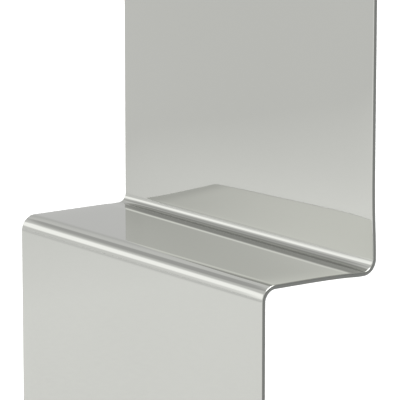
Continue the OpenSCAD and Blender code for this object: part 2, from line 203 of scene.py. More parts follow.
def path_step(place, step):
    """The place [y, z, heading] at the end of one step."""
    y, z, heading = place
    length, radius, turn = step
    side = (turn > 0) - (turn < 0)
    h, t = math.radians(heading), math.radians(heading + turn)
    y += length * math.cos(h) - side * radius * math.sin(h) + side * radius * math.sin(t)
    z += length * math.sin(h) + side * radius * math.cos(h) - side * radius * math.cos(t)
    return (y, z, heading + turn)


def places(path, place, facet=1.5):
    """Places along a path: the ends of its straights, and points on its bends every facet degrees."""
    made = [place]
    for length, radius, turn in path:
        if length > 0:
            made.append(path_step(place, (length, radius, 0)))
        count = math.ceil(abs(turn) / facet)
        made += [path_step(place, (length, radius, turn * k / count)) for k in range(1, count + 1)]
        place = made[-1]
    return made


def path_end(path, place):
    for step in path:
        place = path_step(place, step)
    return place


def offset_path(path, off):
    return [(s[0], s[1] - ((s[2] > 0) - (s[2] < 0)) * off, s[2]) for s in path]


def offset_place(place, off, along=0.0):
    """A place moved off to its left, and along its heading."""
    y, z, heading = place
    h = math.radians(heading)
    y += along * math.cos(h) - off * math.sin(h)
    z += along * math.sin(h) + off * math.cos(h)
    return (y, z, heading)


START_PATH = [(SIT_L, CREST_R, -STEEP), (UPPER_STRAIGHT, 0, 0)]
WAVE_PATH = [(UPPER_STRAIGHT, WAVE_R, STEEP - GENTLE), (WAVE_MID, WAVE_R, GENTLE - STEEP),
             (LOWER_STRAIGHT, 0, 0)]
RUNOUT_PATH = [(LOWER_STRAIGHT, WAVE_R, STEEP - RUNOUT), (RUNOUT_L, 0, 0)]
LIP_PATH = [(0, LIP_R, LIP_TURN)]
START_AT = (CHUTE_Y, DECK_Z, 0)
WAVE_AT = path_end(START_PATH, START_AT)
RUNOUT_AT = path_end(WAVE_PATH, WAVE_AT)
EXIT_AT = path_end(RUNOUT_PATH, RUNOUT_AT)

# --- outlines: closed loops of (a, b, na, nb), where (na, nb) points out of the material ---


def circle(radius, sides=48, centre=(0, 0)):
    turns = [2 * math.pi * k / sides for k in range(sides)]
    return [(centre[0] + radius * math.cos(t), centre[1] + radius * math.sin(t), math.cos(t), math.sin(t))
            for t in turns]


def outline(corners, radius=0.001, steps=4, smooth=20):
    """An anticlockwise outline, with each corner that turns more than smooth degrees made round."""
    made = []
    for i, corner in enumerate(corners):
        following = corners[(i + 1) % len(corners)]
        before, here, after = Vector(corners[i - 1]), Vector(corner), Vector(following)
        into, away = (here - before).normalized(), (after - here).normalized()
        turn = math.atan2(into.x * away.y - into.y * away.x, into.dot(away))
        out = math.atan2(-into.x, into.y)
        if abs(turn) < math.radians(smooth):
            made.append((*here, math.cos(out + turn / 2), math.sin(out + turn / 2)))
            continue
        half = math.tan(abs(turn) / 2)
        round_r = min(radius, 0.45 * min((here - before).length, (after - here).length) / half)
        side = 1 if turn > 0 else -1
        centre = here - into * round_r * half - side * round_r * Vector((math.cos(out), math.sin(out)))
        for k in range(steps + 1):
            t = out + turn * k / steps
            n = Vector((math.cos(t), math.sin(t)))
            made.append((*(centre + side * round_r * n), *n))
    return made


def rectangle(a0, b0, a1, b1, radius=0.001, steps=4):
    return outline([(a0, b0), (a1, b0), (a1, b1), (a0, b1)], radius, steps)


def block(width, height, radius, steps=4):
    """A rectangle round the middle."""
    return rectangle(-width / 2, -height / 2, width / 2, height / 2, radius, steps)


def inward(loop):
    """The same loop as the wall of an opening, its points in the same order."""
    return [(a, b, -na, -nb) for a, b, na, nb in loop]


# --- shapes: points, normals and faces gathered into one mesh ---

Space = namedtuple("Space", "at a b c")
RIM = [math.radians(t) for t in (0, 30, 60, 90)]
RIM_R = 0.0006                         # radius of the rounding on most edges
HEAVY_EDGE = 0.001                     # and on the edges of heavy plates


class Shape:
    """Points with their normals, and faces that are smooth or flat."""

    def __init__(self):
        self.points, self.normals, self.faces, self.smooth = [], [], [], []

    def face(self, corners, smooth=True):
        self.faces.append(corners)
        self.smooth.append(smooth)

    def grid(self, rows, wrap=True, loop=False, smooth=True):
        """Joins rows of (point, normal) with quads, and returns each row's point numbers."""
        count = len(rows[0])
        base = len(self.points)
        for row in rows:
            self.points += [p for p, n in row]
            self.normals += [n for p, n in row]
        numbers = [[base + i * count + j for j in range(count)] for i in range(len(rows))]
        for i in range(len(rows) - (not loop)):
            low, high = numbers[i], numbers[(i + 1) % len(rows)]
            for j in range(count - (not wrap)):
                k = (j + 1) % count
                self.face((low[j], low[k], high[k], high[j]), smooth)
        return numbers


def ring(space, loop, inset=0.0, along=0.0, lean=0.0):
    """A loop in a space, drawn in by inset and moved along, its normals leaning along the travel."""
    flat, up = math.cos(lean), math.sin(lean)
    return [(space.at + (a - na * inset) * space.a + (b - nb * inset) * space.b + along * space.c,
             flat * (na * space.a + nb * space.b) + up * space.c) for a, b, na, nb in loop]


def rim(space, loop, edge, end):
    """The rings that round a loop's end, from the wall to the flat end face."""
    return [ring(space, loop, edge * (1 - math.cos(t)), end * edge * (math.sin(t) - 1), end * t)
            for t in RIM]


def skin(spaces, loop, edge):
    first, last = rim(spaces[0], loop, edge, -1), rim(spaces[-1], loop, edge, 1)
    return first[::-1] + [ring(s, loop) for s in spaces[1:-1]] + last


def sweep(shape, spaces, loop, edge=RIM_R):
    """A solid bar of one section."""
    rows = shape.grid(skin(spaces, loop, edge))
    shape.face(rows[0])
    shape.face(rows[-1])


def hollow(shape, spaces, outer, inner, edge=RIM_R):
    """A tube of one section, open at both ends."""
    shape.grid(skin(spaces, outer, edge) + skin(spaces, inward(inner), edge)[::-1], loop=True)


def plate(shape, space, outer, holes, thickness, edge=RIM_R):
    """A flat plate with rounded edges, its thickness along c and its middle at the space."""
    tops, bottoms, loops = [], [], []
    for loop in [outer] + [inward(hole) for hole in holes]:
        top = rim(space._replace(at=space.at + thickness / 2 * space.c), loop, edge, 1)
        bottom = rim(space._replace(at=space.at - thickness / 2 * space.c), loop, edge, -1)
        rows = shape.grid(top[::-1] + bottom)
        tops += rows[0]
        bottoms += rows[-1]
        loops.append([Vector((a - na * edge, b - nb * edge, 0)) for a, b, na, nb in loop])
    for i, j, k in tessellate_polygon(loops):
        shape.face((tops[i], tops[j], tops[k]))
        shape.face((bottoms[k], bottoms[j], bottoms[i]))


def turned(shape, space, corners, radius=0.0008, sides=40):
    """A solid turned about c, from its corners (radius, height), bottom first."""
    wide = max(r for r, h in corners)
    loop = outline([(-wide, corners[0][1])] + list(corners) + [(-wide, corners[-1][1])], radius)
    rows = []
    for r, h, nr, nh in loop:
        if r > 0:
            rows.append([(space.at + r * (x * space.a + y * space.b) + h * space.c,
                          nr * (x * space.a + y * space.b) + nh * space.c)
                         for x, y, nx, ny in circle(1, sides)])
    numbers = shape.grid(rows)
    shape.face(numbers[0])
    shape.face(numbers[-1])


def hexagon(shape, space, corner_w, height, sides=48):
    """A bolt head or nut, the corners of its top turned down at 30 degrees."""
    flat = corner_w / 2 * math.cos(math.radians(30))
    face_r = 0.94 * flat
    spokes, radii = [], []
    for k in range(sides):
        t = 2 * math.pi * k / sides
        spokes.append(math.cos(t) * space.a + math.sin(t) * space.b)
        radii.append(flat / math.cos((t + math.pi / 6) % (math.pi / 3) - math.pi / 6))
    low = [0] * sides
    high = [height - (r - face_r) * math.tan(math.radians(30)) for r in radii]

    def row(rs, hs, normal):
        return [(space.at + r * s + h * space.c, normal) for s, r, h in zip(spokes, rs, hs)]

    face = [face_r] * sides
    tops = shape.grid([row(radii, high, None), row(face, [height] * sides, space.c)])
    shape.grid([row(radii, low, None), row(radii, high, None)], smooth=False)
    ends = shape.grid([row(face, [0] * sides, -space.c), row(radii, low, None)])
    shape.face(tops[1], False)
    shape.face(ends[0], False)


def thread(shape, space, radius, start, end, pitch=0.00125, sides=24):
    """The bare end of a bolt: a crest and a root every pitch, and a turned-down tip."""
    count = max(2, int((end - start) / pitch))
    corners = [(radius, start)]
    for k in range(count):
        low = start + (end - start) * k / count
        corners += [(radius * 0.99, low + pitch * 0.2), (radius * 0.9, low + pitch * 0.55)]
    corners += [(radius * 0.95, end - 0.0004), (radius * 0.78, end)]
    rows = [[(space.at + r * (x * space.a + y * space.b) + h * space.c, None)
             for x, y, nx, ny in circle(1, sides)] for r, h in corners]
    numbers = shape.grid(rows)
    shape.face(numbers[0], False)
    shape.face(numbers[-1], False)


def bead(shape, points, radius=0.0022, closed=False, pitch=0.004, sides=8):
    """A weld bead along points, with a ripple about every pitch."""
    spots = [Vector(p) for p in points]
    if closed:
        spots.append(spots[0])
    lengths = [(b - a).length for a, b in zip(spots, spots[1:])]
    total = sum(lengths)
    count = max(4, round(total / pitch) * 3)
    rows, i, passed = [], 0, 0.0
    for k in range(count if closed else count + 1):
        want = total * k / count
        while i < len(lengths) - 1 and passed + lengths[i] < want:
            passed += lengths[i]
            i += 1
        at = spots[i].lerp(spots[i + 1], (want - passed) / lengths[i])
        along = (spots[i + 1] - spots[i]).normalized()
        a = along.cross(Z if abs(along.z) < 0.9 else X).normalized()
        b = along.cross(a)
        swell = radius * (1 + 0.16 * math.cos(2 * math.pi * k / 3))
        rows.append([(at + swell * (x * a + y * b), None) for x, y, nx, ny in circle(1, sides)])
    numbers = shape.grid(rows, loop=closed)
    if not closed:
        shape.face(numbers[0], False)
        shape.face(numbers[-1], False)


def make(name, shape, look, *nodes):
    """Makes a piece of a shape, which rides on the one body and stands for the CAD nodes."""
    mesh = bpy.data.meshes.new(name)
    mesh.from_pydata(shape.points, [], shape.faces)
    mesh.polygons.foreach_set("use_smooth", shape.smooth)
    work = bmesh.new()
    work.from_mesh(mesh)
    bmesh.ops.recalc_face_normals(work, faces=work.faces)
    work.to_mesh(mesh)
    work.free()
    blank = Vector((0, 0, 0))
    for polygon in mesh.polygons:
        guides = [shape.normals[i] or blank for i in polygon.vertices]
        if polygon.use_smooth and sum(guides, blank).dot(polygon.normal) < 0:
            polygon.flip()
    normals = [blank] * len(mesh.loops)
    for polygon in mesh.polygons:
        if polygon.use_smooth:
            for i in polygon.loop_indices:
                normals[i] = shape.normals[mesh.loops[i].vertex_index] or blank
    mesh.normals_split_custom_set(normals)
    mesh.materials.append(looks[look])
    piece = bpy.data.objects.new(name, mesh)
    bpy.context.scene.collection.objects.link(piece)
    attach(piece, "root")
    if nodes:
        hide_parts(*nodes)
    return piece


# --- materials: each has its own grain, wear and roughness, from noise in the object's own space ---


class Look:
    """A material's nodes, with short ways to add textures."""

    def __init__(self, name):
        self.material = bpy.data.materials.new(name)
        self.material.use_nodes = True
        self.nodes, self.links = self.material.node_tree.nodes, self.material.node_tree.links
        self.shader = self.nodes["Principled BSDF"]
        self.coords = self.nodes.new("ShaderNodeTexCoord")

    def noise(self, scale, stretch=(1, 1, 1), detail=3.0):
        mapping = self.nodes.new("ShaderNodeMapping")
        mapping.inputs["Scale"].default_value = [scale * s for s in stretch]
        texture = self.nodes.new("ShaderNodeTexNoise")
        texture.inputs["Scale"].default_value = 1.0
        texture.inputs["Detail"].default_value = detail
        self.links.new(self.coords.outputs["Object"], mapping.inputs["Vector"])
        self.links.new(mapping.outputs["Vector"], texture.inputs["Vector"])
        return texture.outputs["Fac"]

    def cells(self, scale):
        texture = self.nodes.new("ShaderNodeTexVoronoi")
        texture.inputs["Scale"].default_value = scale
        self.links.new(self.coords.outputs["Object"], texture.inputs["Vector"])
        return texture.outputs["Color"]

    def spread(self, value, low, high, start=0.3, end=0.7):
        node = self.nodes.new("ShaderNodeMapRange")
        for name, number in zip(("From Min", "From Max", "To Min", "To Max"), (start, end, low, high)):
            node.inputs[name].default_value = number
        self.links.new(value, node.inputs["Value"])
        return node.outputs["Result"]

    def sum(self, a, b, kind="ADD"):
        node = self.nodes.new("ShaderNodeMath")
        node.operation = kind
        self.links.new(a, node.inputs[0])
        self.links.new(b, node.inputs[1])
        return node.outputs["Value"]

    def blend(self, value, first, second):
        """A colour between two; the first may come from another node."""
        node = self.nodes.new("ShaderNodeMix")
        node.data_type = "RGBA"
        colours = [s for s in node.inputs if s.type == "RGBA"]
        if hasattr(first, "is_output"):
            self.links.new(first, colours[0])
        else:
            colours[0].default_value = (*first, 1)
        colours[1].default_value = (*second, 1)
        self.links.new(value, node.inputs["Factor"])
        return [s for s in node.outputs if s.type == "RGBA"][0]

    def attribute(self, name):
        node = self.nodes.new("ShaderNodeAttribute")
        node.attribute_name = name
        return node.outputs["Fac"]

    def set(self, name, source):
        if hasattr(source, "is_output"):
            self.links.new(source, self.shader.inputs[name])
        else:
            self.shader.inputs[name].default_value = source

    def bump(self, height, strength, distance):
        node = self.nodes.new("ShaderNodeBump")
        node.inputs["Strength"].default_value = strength
        node.inputs["Distance"].default_value = distance
        self.links.new(height, node.inputs["Height"])
        self.links.new(node.outputs["Normal"], self.shader.inputs["Normal"])


def polished_steel():
    """Mirror-polished stainless steel: faint clouding, traces of the wheel, and dull cut edges."""
    look = Look("polished_steel")
    cloud = look.noise(3.5, detail=2)
    lines = look.noise(9, stretch=(1, 60, 60), detail=2)
    cut = look.attribute("cut")
    face = look.blend(look.spread(cloud, 0, 1), (0.492, 0.497, 0.469), (0.503, 0.508, 0.48))
    look.set("Base Color", look.blend(cut, face, (0.15, 0.154, 0.146)))
    look.set("Metallic", 1.0)
    dull = look.sum(look.spread(cloud, 0.02, 0.04), look.spread(lines, 0, 0.015))
    look.set("Roughness", look.sum(dull, look.spread(cut, 0, 0.25, 0, 1)))
    look.bump(look.noise(7, detail=1), 0.1, 0.0004)
    return look.material


def satin_steel():
    """Brushed stainless steel."""
    look = Look("satin_steel")
    brush = look.noise(30, stretch=(1, 1, 25), detail=5)
    cloud = look.noise(5, detail=3)
    look.set("Base Color", look.blend(look.sum(look.spread(brush, 0, 0.5), look.spread(cloud, 0, 0.5)),
                                      (0.37, 0.375, 0.37), (0.5, 0.505, 0.49)))
    look.set("Metallic", 1.0)
    look.set("Roughness", look.spread(brush, 0.24, 0.4))
    look.bump(brush, 0.12, 0.0002)
    return look.material


def zinc_steel():
    """Zinc-plated fasteners, with a fine spangle and dulled edges."""
    look = Look("zinc_steel")
    spangle = look.cells(900)
    stain = look.noise(260, detail=4)
    bright = look.nodes.new("ShaderNodeSeparateColor")
    look.links.new(spangle, bright.inputs["Color"])
    look.set("Base Color", look.blend(look.sum(look.spread(bright.outputs["Red"], 0, 0.6, 0, 1),
                                               look.spread(stain, 0, 0.4)),
                                      (0.36, 0.37, 0.39), (0.62, 0.63, 0.63)))
    look.set("Metallic", 1.0)
    look.set("Roughness", look.spread(stain, 0.26, 0.44))
    look.bump(stain, 0.1, 0.0002)
    return look.material


def rubber_pad():
    """Black rubber, with chalky wear."""
    look = Look("rubber_pad")
    grain = look.noise(900, detail=4)
    wear = look.noise(45, detail=4)
    look.set("Base Color", look.blend(look.spread(wear, 0, 1, 0.4, 0.75),
                                      (0.018, 0.018, 0.019), (0.06, 0.059, 0.056)))
    look.set("Roughness", look.spread(grain, 0.72, 0.92))
    look.bump(grain, 0.35, 0.0004)
    return look.material


def black_plastic():
    """Moulded black plastic, with a fine spark-eroded grain."""
    look = Look("black_plastic")
    grain = look.noise(1400, detail=3)
    wear = look.noise(60, detail=3)
    look.set("Base Color", look.blend(look.spread(wear, 0, 1), (0.012, 0.012, 0.013), (0.03, 0.03, 0.031)))
    look.set("Roughness", look.spread(grain, 0.38, 0.55))
    look.bump(grain, 0.25, 0.0002)
    return look.material


# --- the studio ---

FLOOR_R = 70.0


def floor_material():
    """A pale floor, lit a little from within to keep shadows light, and dimmer to the front left."""
    look = Look("floor")
    grain = look.noise(90, detail=4)
    look.set("Base Color", look.blend(look.spread(grain, 0, 1), (0.49, 0.49, 0.49), (0.51, 0.51, 0.51)))
    look.set("Roughness", 0.9)
    look.set("Specular IOR Level", 0.0)
    parts = look.nodes.new("ShaderNodeSeparateXYZ")
    look.links.new(look.coords.outputs["Object"], parts.inputs["Vector"])
    glow = look.sum(look.spread(parts.outputs["X"], 0.07, 0.33, -2.0, -0.9),
                    look.spread(parts.outputs["Y"], 0.07, 0.48, -0.9, 0.35), "MAXIMUM")
    look.set("Emission Color", (1, 1, 1, 1))
    look.set("Emission Strength", glow)
    return look.material


def make_floor():
    """A round floor under the middle of the slide."""
    shape = Shape()
    space = Space(Vector((0, (cad_low.y + cad_high.y) / 2, 0)), X, Y, Z)
    radii = [1, 3, 9, 27, FLOOR_R]
    rows = [[(space.at + r * (x * X + y * Y), Z) for x, y, nx, ny in circle(1, 96)] for r in radii]
    numbers = shape.grid(rows)
    shape.face(numbers[0])
    mesh = bpy.data.meshes.new("floor")
    mesh.from_pydata(shape.points, [], shape.faces)
    mesh.materials.append(floor_material())
    floor = bpy.data.objects.new("floor", mesh)
    bpy.context.scene.collection.objects.link(floor)


# Soft cards of the studio: azimuth from the front towards the left, its half width, elevation, its half
# height, softness of the edges, all in degrees, and radiance
CARDS = (
    (0, 180, 45, 17, 14, 0.92),        # the upper wall
    (125, 27, 14, 17, 12, 0.72),       # the wall behind the slide, to the left
    (80, 11, 37, 5, 7, 0.62),          # a dark flag to the left
    (35, 16, 15, 10, 10, 1.65),        # a bright card to the front
    (58, 12, 20, 7.2, 6, 1.7),         # a strip light beside it
    (0, 180, 85, 24, 16, 4.5),         # the softbox overhead
)
WALL = 1.0                             # radiance at the horizon


def make_world():
    world = bpy.data.worlds.new("studio")
    bpy.context.scene.world = world
    world.use_nodes = True
    nodes, links = world.node_tree.nodes, world.node_tree.links
    coords = nodes.new("ShaderNodeTexCoord")
    direction = coords.outputs["Generated"]

    def math_node(kind, *values):
        node = nodes.new("ShaderNodeMath")
        node.operation = kind
        for i, value in enumerate(values):
            if hasattr(value, "is_output"):
                links.new(value, node.inputs[i])
            else:
                node.inputs[i].default_value = value
        return node.outputs["Value"]

    def window(angle, centre, half, soft):
        away = math_node("ABSOLUTE", math_node("SUBTRACT", angle, math.radians(centre)))
        node = nodes.new("ShaderNodeMapRange")
        node.interpolation_type = "SMOOTHSTEP"
        node.inputs["From Min"].default_value = math.radians(half + soft / 2)
        node.inputs["From Max"].default_value = math.radians(half - soft / 2)
        links.new(away, node.inputs["Value"])
        return node.outputs["Result"]

    parts = nodes.new("ShaderNodeSeparateXYZ")
    links.new(direction, parts.inputs["Vector"])
    elevation = math_node("ARCSINE", parts.outputs["Z"])
    light = WALL
    for azimuth, half_w, height, half_h, soft, radiance in CARDS:
        mask = window(elevation, height, half_h, soft)
        if half_w < 180:
            facing = nodes.new("ShaderNodeVectorMath")
            facing.operation = "DOT_PRODUCT"
            a = math.radians(azimuth)
            facing.inputs[1].default_value = (-math.sin(a), -math.cos(a), 0)
            links.new(direction, facing.inputs[0])
            level = math_node("COSINE", elevation)
            turn = math_node("ARCCOSINE", math_node("DIVIDE", facing.outputs["Value"], level))
            mask = math_node("MULTIPLY", mask, window(turn, 0, half_w, soft))
        rest = math_node("MULTIPLY", light, math_node("SUBTRACT", 1.0, mask))
        light = math_node("ADD", rest, math_node("MULTIPLY", mask, radiance))
    background = nodes["Background"]
    background.inputs["Color"].default_value = (1, 1, 1, 1)
    links.new(light, background.inputs["Strength"])


# --- steps and platform ---


def step_path():
    """The plate's visible face, from the flat stretch of its foot flange to the end of the deck."""
    drop = RISE - FOLD_IN - FOLD_OUT
    tread = GOING - FOLD_OUT - FOLD_IN
    deck = DECK_END - RISER_Y - 2 * GOING - FOLD_OUT
    return [(FOOT_FLANGE - FOOT_FLAT - FOLD_OUT, FOLD_OUT, -90), (RISE - 2 * FOLD_OUT, FOLD_OUT, -90),
            (tread, FOLD_IN, 90), (drop, FOLD_OUT, -90), (tread, FOLD_IN, 90), (drop, FOLD_OUT, -90),
            (deck, 0, 0)]


def swellings(share):
    """The swellings beside the folds: distance along the path, height (negative for a dip) and width."""
    made, passed = [], 0.0
    for length, radius, turn in step_path()[:-1]:
        passed += length
        arc = radius * math.radians(abs(turn))
        if turn > 0:
            made.append((passed - SWELL_ON[1], -SWELL_ON[0], SWELL_ON[1]))
            made.append((passed + arc, -SWELL_ABOVE[0] * share, SWELL_ABOVE[1]))
        passed += arc
    return made


def step_spots(share):
    """Finely spaced places along the plate's visible face, with the swelling beside each fold."""
    steps = ((0.018, 0.0008), (0.1, 0.003), (math.inf, 0.012))
    swells = swellings(share)
    at = (RISER_Y + FOOT_FLANGE - FOOT_FLAT, 0.0, 180)
    made, passed = [], 0.0
    for length, radius, turn in step_path():
        plain, s = [], 0.0
        while s < length - STEP_T / 100:
            plain.append((path_step(at, (s, 0, 0)), passed + s))
            s += next(step for reach, step in steps if min(s, length - s) < reach)
        arc = radius * math.radians(abs(turn))
        count = math.ceil(arc / steps[0][1])
        plain += [(path_step(at, (length, radius, turn * k / count)), passed + length + arc * k / count)
                  for k in range(count)]
        for place, s in plain:
            off = sum(height * math.exp(-((s - middle) / width) ** 2) for middle, height, width in swells)
            made.append(offset_place(place, off))
        at = path_step(at, (length, radius, turn))
        passed += length + arc
    made.append(at)
    return made


def ribbon_spaces(spots):
    """Spaces that travel through spots, their headings taken from the spots next to them."""
    made = []
    for i, (y, z, heading) in enumerate(spots):
        before, after = spots[max(i - 1, 0)], spots[min(i + 1, len(spots) - 1)]
        along = Vector((0, after[0] - before[0], after[1] - before[1])).normalized()
        made.append(Space(Vector((0, y, z)), X, Vector((0, -along.z, along.y)), along))
    return made


def ribbon_section():
    """The plate's section: flat, with borders that fall away a little before the round edge."""
    middle, edge_r, count = STEP_T / 2, 0.0016, 12
    start = STEP_W / 2 - BORDER_W
    quarter = []
    for k in range(5):
        t = math.radians(90 * k / 5)
        quarter.append((STEP_W / 2 - edge_r + edge_r * math.cos(t),
                        middle - BORDER_DROP - edge_r + edge_r * math.sin(t), math.cos(t), math.sin(t)))
    for k in range(count, -1, -1):
        share = k / count
        slope = Vector((3 * BORDER_DROP * share ** 2 / BORDER_W, 1)).normalized()
        quarter.append((start + share * (BORDER_W - edge_r), middle - BORDER_DROP * share ** 3, *slope))

    def flipped(sx, sb):
        return [(sx * a, sb * b, sx * na, sb * nb) for a, b, na, nb in quarter]

    loop = quarter + flipped(-1, 1)[::-1] + flipped(-1, -1) + flipped(1, -1)[::-1]
    return [(a, b - middle, na, nb) for a, b, na, nb in loop]


def merge(left, right):
    """A ring that goes from the left one to the right one across the plate."""
    made = []
    for (p, n), (q, m) in zip(left, right):
        share = 0.5 + p.x / STEP_W
        made.append((p.lerp(q, share), n.lerp(m, share)))
    return made


def make_step_plate():
    """The folded plate; the last stretch of its foot flange is flat, with two anchor holes."""
    shape = Shape()
    left = skin(ribbon_spaces(step_spots(SWELL_LEFT)), ribbon_section(), 0.0003)
    right = skin(ribbon_spaces(step_spots(1)), ribbon_section(), 0.0003)
    rows = shape.grid([merge(*pair) for pair in zip(left, right)])
    shape.face(rows[0])
    shape.face(rows[-1])
    y1 = RISER_Y + FOOT_FLANGE
    holes = [circle(ANCHOR_D / 2, 48, (x, y1 - FOOT_FLAT / 2)) for x in (-ANCHOR_SPAN / 2, ANCHOR_SPAN / 2)]
    flat = rectangle(-STEP_W / 2, y1 - FOOT_FLAT, STEP_W / 2, y1, 0.004)
    plate(shape, Space(Vector((0, 0, STEP_T / 2)), X, Y, Z), flat, holes, STEP_T)
    piece = make("step_ribbon", shape, "polished_steel", "step_plate")
    cut = piece.data.attributes.new("cut", "FLOAT", "POINT")
    cut.data.foreach_set("value", [float(abs(p.x) > STEP_W / 2 - CUT_IN) for p in shape.points])


def path_space(place, off=0.0, along=0.0, x=0.0):
    """A space at a place on a path: a across, b to the left of the travel and c along it."""
    y, z, heading = offset_place(place, off, along)
    h = math.radians(heading)
    left, ahead = Vector((0, -math.sin(h), math.cos(h))), Vector((0, math.cos(h), math.sin(h)))
    return Space(Vector((x, y, z)), X, left, ahead)


def rail_spaces(path, place, x, facet=1.5):
    """Spaces at x that travel along a path."""
    return [path_space(spot, x=x) for spot in places(path, place, facet)]


def line_spaces(start, end):
    """Two spaces, from start to end, that face along the line between them."""
    along = (Vector(end) - Vector(start)).normalized()
    a = X if abs(along.x) < 0.9 else Y
    b = along.cross(a)
    return [Space(Vector(start), a, b, along), Space(Vector(end), a, b, along)]


def side_space(x, y, z):
    """A space whose a is Y, b is Z and c is X, for plates that stand along the slide."""
    return Space(Vector((x, y, z)), Y, Z, X)


def tube(shape, spaces, radius, wall, sides=72):
    hollow(shape, spaces, circle(radius, sides), circle(radius - wall, sides))


SIDES = (("left", -1), ("right", 1))
CROSS_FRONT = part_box("cross_bearer_front")
CROSS_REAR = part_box("cross_bearer_rear")
SECTION_R = 0.004                      # outer and inner corner radii of the rectangular tubes
SECTION_INNER_R = 0.0015


def box_section(shape, spaces, width, height):
    """A rectangular tube with rounded corners; the section's a and b are the spaces' own."""
    wall = 2 * BEARER_WALL
    hollow(shape, spaces, block(width, height, SECTION_R, 5),
           block(width - wall, height - wall, SECTION_INNER_R, 5), edge=0.0003)


def make_platform_frame():
    for name, side in SIDES:
        shape = Shape()
        low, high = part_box("bearer_" + name)
        x, z = (low.x + high.x) / 2, (low.z + high.z) / 2
        box_section(shape, line_spaces((x, low.y, z), (x, high.y, z)), high.x - low.x, high.z - low.z)
        make("bearer_section_" + name, shape, "satin_steel", "bearer_" + name)
    for name, (low, high) in (("front", CROSS_FRONT), ("rear", CROSS_REAR)):
        shape = Shape()
        y, z = (low.y + high.y) / 2, (low.z + high.z) / 2
        box_section(shape, line_spaces((low.x, y, z), (high.x, y, z)), high.y - low.y, high.z - low.z)
        make("cross_section_" + name, shape, "satin_steel", "cross_bearer_" + name)


def make_legs():
    """The platform's two legs with their feet, the tie between them and the braces."""
    top = BEARER_Z - LEG_PLATE[2]
    for name, side in SIDES:
        shape = Shape()
        x = side * LEG_X
        tube(shape, line_spaces((x, LEG_Y, BASE_T), (x, LEG_Y, top)), LEG_R, SUPPORT_WALL, 56)
        space = Space(Vector((x, LEG_Y, top + LEG_PLATE[2] / 2)), X, Y, Z)
        plate(shape, space, block(LEG_PLATE[0], LEG_PLATE[1], 0.006), [], LEG_PLATE[2])
        bead(shape, round_seam((x, LEG_Y, top), LEG_R), 0.0025, closed=True)
        make("leg_tube_" + name, shape, "satin_steel", "leg_" + name)
        make_foot("leg_base_" + name, x, LEG_Y, LEG_R, "leg_foot_" + name)
    shape = Shape()
    inside = LEG_X - LEG_R + SUPPORT_WALL
    tube(shape, line_spaces((-inside, LEG_Y, TIE_Z), (inside, LEG_Y, TIE_Z)), TIE_R, TIE_WALL, 56)
    for side in (-1, 1):
        seam = [(side * (LEG_X - math.sqrt(LEG_R ** 2 - a ** 2)), LEG_Y + a, TIE_Z + b)
                for a, b, na, nb in circle(TIE_R, 32)]
        bead(shape, seam, closed=True)
    make("tie_tube", shape, "satin_steel", "leg_tie")
    run = Vector(BRACE_HIGH) - Vector(BRACE_LOW)
    along = run.normalized()
    half = BRACE_W / 2
    rounds = [math.radians(t) for t in range(-90, 91, 6)]
    bar = [(run.length + half * math.cos(t), half * math.sin(t)) for t in rounds]
    bar += [(-half * math.cos(t), -half * math.sin(t)) for t in rounds]
    holes = [circle(BRACE_HOLE / 2, 32, (a, 0)) for a in (0, run.length)]
    for name, side in SIDES:
        shape = Shape()
        space = Space(Vector((side * BRACE_X, *BRACE_LOW)), Vector((0, along.x, along.y)),
                      Vector((0, -along.y, along.x)), X)
        plate(shape, space, outline(bar), holes, BRACE_T, HEAVY_EDGE)
        make("brace_bar_" + name, shape, "satin_steel", "brace_" + name)


def round_seam(at, radius, slope=0.0, count=40):
    """Points of a ring round an upright tube, on a level plane or one that slopes along Y."""
    x, y, z = at
    return [(x + a, y + b, z + b * slope) for a, b, na, nb in circle(radius, count)]


def make_foot(name, x, y, tube_r, node):
    """A base plate with four anchor holes and four gussets, welded round its tube."""
    shape = Shape()
    half, pitch = BASE_W / 2, BASE_PITCH / 2
    holes = [circle(ANCHOR_D / 2, 36, (a, b)) for a in (-pitch, pitch) for b in (-pitch, pitch)]
    space = Space(Vector((x, y, BASE_T / 2)), X, Y, Z)
    plate(shape, space, block(BASE_W, BASE_W, 0.006), holes, BASE_T, HEAVY_EDGE)
    heel, toe, top = tube_r - 0.001, half - GUSSET_INSET, tube_r + GUSSET_TOP_W
    corners = [(heel, 0), (toe, 0), (toe, GUSSET_TOE), (top, GUSSET_H), (heel, GUSSET_H)]
    for quarter in range(4):
        t = math.pi / 2 * quarter
        out, aside = Vector((math.cos(t), math.sin(t), 0)), Vector((-math.sin(t), math.cos(t), 0))
        upright = Space(Vector((x, y, BASE_T)), out, Z, aside)
        plate(shape, upright, outline(corners, 0.002), [], GUSSET_T)
        for way in (-1, 1):
            foot = Vector((x, y, BASE_T)) + way * GUSSET_T / 2 * aside
            bead(shape, [foot + (tube_r + 0.002) * out, foot + (toe - 0.002) * out])
            bead(shape, [foot + tube_r * out + h * Z for h in (0.002, GUSSET_H - 0.002)])
    bead(shape, round_seam((x, y, BASE_T), tube_r), 0.003, closed=True)
    make(name, shape, "satin_steel", node)


# --- handrails ---


